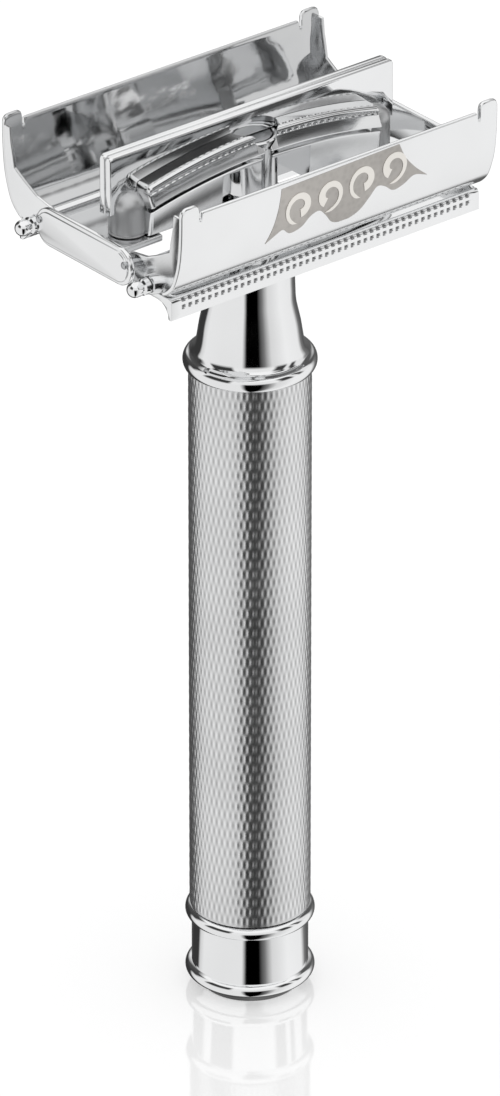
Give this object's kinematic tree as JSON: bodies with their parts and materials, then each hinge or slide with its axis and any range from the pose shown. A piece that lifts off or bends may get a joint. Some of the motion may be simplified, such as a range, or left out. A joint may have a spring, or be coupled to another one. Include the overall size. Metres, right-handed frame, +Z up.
{
  "type": "twist-to-open double-edge safety razor",
  "caption": "Chrome safety razor with an engraved handle, whose head opens like a pair of doors when the knob at its foot is twisted.",
  "frame": {"origin": "centre of the knob's flat foot, which is the bottom centre of the bounding box", "axes": "+Z up the handle to the head, +X along the head, +Y to the rear door; the ornamented front door is on the -Y side"},
  "size_m": [0.0486, 0.0306, 0.107],
  "materials": {
    "polished_chrome": "mirror-polished chrome plate",
    "engraved_chrome": "chrome plate over fine engraved barleycorn",
    "etched_ornament": "satin etched, warm grey",
    "steel": "plain stainless steel",
    "brass": "machined"
  },
  "bodies": {
    "handle": {"handle_tube": "engraved_chrome", "neck_collar": "polished_chrome", "guard_plate": "polished_chrome", "rod_guide_bush": "brass", "knob_bearing_bush": "brass", "thrust_washer": "steel", "spring_washer": "steel"},
    "knob": {"twist_knob": "polished_chrome", "threaded_stem": "brass", "knob_foot_plug": "polished_chrome", "retaining_clip": "steel"},
    "carriage": {"drive_rod": "steel", "hub_post": "polished_chrome", "left_bed_rail": "polished_chrome", "right_bed_rail": "polished_chrome", "left_bed_post": "polished_chrome", "right_bed_post": "polished_chrome", "center_spine": "polished_chrome", "left_end_cap": "polished_chrome", "right_end_cap": "polished_chrome", "front_left_hinge_pin": "steel", "front_right_hinge_pin": "steel", "rear_left_hinge_pin": "steel", "rear_right_hinge_pin": "steel"},
    "front_door": {"front_door": "polished_chrome", "front_left_door_peg": "polished_chrome", "front_right_door_peg": "polished_chrome"},
    "rear_door": {"rear_door": "polished_chrome", "rear_left_door_peg": "polished_chrome", "rear_right_door_peg": "polished_chrome"}
  },
  "joints": [
    {"name": "knob_twist", "type": "hinge", "parent": "handle", "child": "knob", "pos_m": [0, 0, 0], "axis": [0, 0, 1], "range_deg": [0, 540]},
    {"name": "carriage_slide", "type": "slide", "parent": "handle", "child": "carriage", "axis": [0, 0, -1], "range_m": [0, 0.0061]},
    {"name": "front_door_hinge", "type": "hinge", "parent": "carriage", "child": "front_door", "pos_m": [0, -0.0072, 0.098], "axis": [-1, 0, 0], "range_deg": [0, 75]},
    {"name": "rear_door_hinge", "type": "hinge", "parent": "carriage", "child": "rear_door", "pos_m": [0, 0.0072, 0.098], "axis": [1, 0, 0], "range_deg": [0, 75]}
  ],
  "couplings": [
    {"joint": "knob_twist", "follows": "carriage_slide", "rad_per_m": 1545},
    {"joint": "front_door_hinge", "follows": "carriage_slide", "rad_per_m": 214.6},
    {"joint": "rear_door_hinge", "follows": "carriage_slide", "rad_per_m": 214.6}
  ]
}
